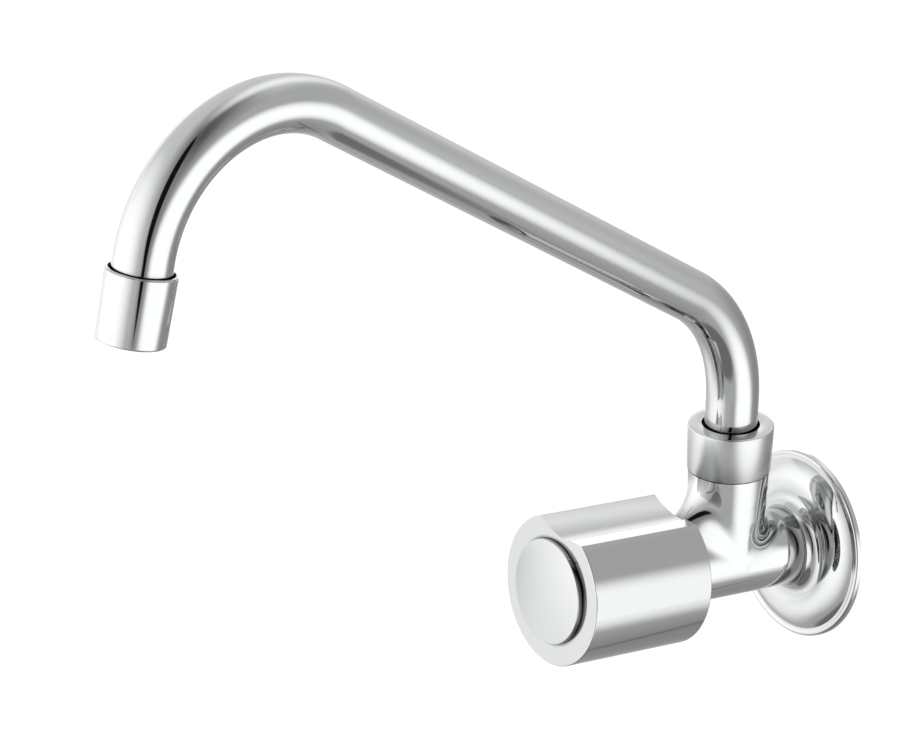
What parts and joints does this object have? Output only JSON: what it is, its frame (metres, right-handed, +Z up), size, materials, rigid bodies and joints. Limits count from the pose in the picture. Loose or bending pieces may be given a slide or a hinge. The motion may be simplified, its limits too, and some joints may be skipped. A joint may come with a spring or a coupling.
{
  "type": "wall faucet",
  "caption": "Wall-mounted sink tap with a cylindrical quarter-turn knob, round wall flange and long bent swivel spout ending in an aerator.",
  "frame": {"origin": "on the barrel's axis in the plane of the wall, at the back face of the wall flange", "axes": "+Y points into the wall along the inlet and barrel, +Z is up, and the knob and spout stand out towards -Y"},
  "size_m": [0.0747, 0.3149, 0.2282],
  "materials": {
    "chromed_brass": "nickel-chrome plated and polished brass",
    "chromed_zinc": "nickel-chrome plated and polished zinc die casting",
    "turned_brass": "turned, unplated",
    "rubber": "moulded EPDM",
    "ceramic": "lapped alumina",
    "slip_ring": "white PTFE",
    "jet_plastic": "moulded acetal",
    "stainless": "stainless steel"
  },
  "bodies": {
    "tap_body": {"valve_body": "chromed_brass", "wall_flange": "chromed_brass", "swivel_nut": "chromed_brass", "thrust_washer": "slip_ring", "slip_washer": "slip_ring", "cartridge_housing": "turned_brass", "housing_o_ring": "rubber", "seat_seal": "rubber", "fixed_ceramic_disc": "ceramic"},
    "handle": {"spindle": "turned_brass", "spindle_o_rings": "rubber", "spindle_circlip": "stainless", "moving_ceramic_disc": "ceramic", "handle_knob": "chromed_zinc", "handle_cap": "chromed_zinc", "screw_washer": "stainless", "handle_screw": "stainless"},
    "spout": {"spout_tube": "chromed_brass", "spout_tail": "turned_brass", "spout_o_rings": "rubber", "outlet_collar": "turned_brass", "aerator_housing": "chromed_brass", "aerator_gasket": "rubber", "aerator_insert": "jet_plastic", "aerator_screens": "stainless"}
  },
  "joints": [
    {"name": "valve_turn", "type": "hinge", "parent": "tap_body", "child": "handle", "pos_m": [0, -0.0825, 0], "axis": [0, -1, 0], "range_deg": [0, 90]},
    {"name": "spout_swivel", "type": "hinge", "parent": "tap_body", "child": "spout", "pos_m": [0, -0.0335, 0], "axis": [0, -0.0958, 0.9954], "range_deg": [-97.4, 82.6]}
  ]
}
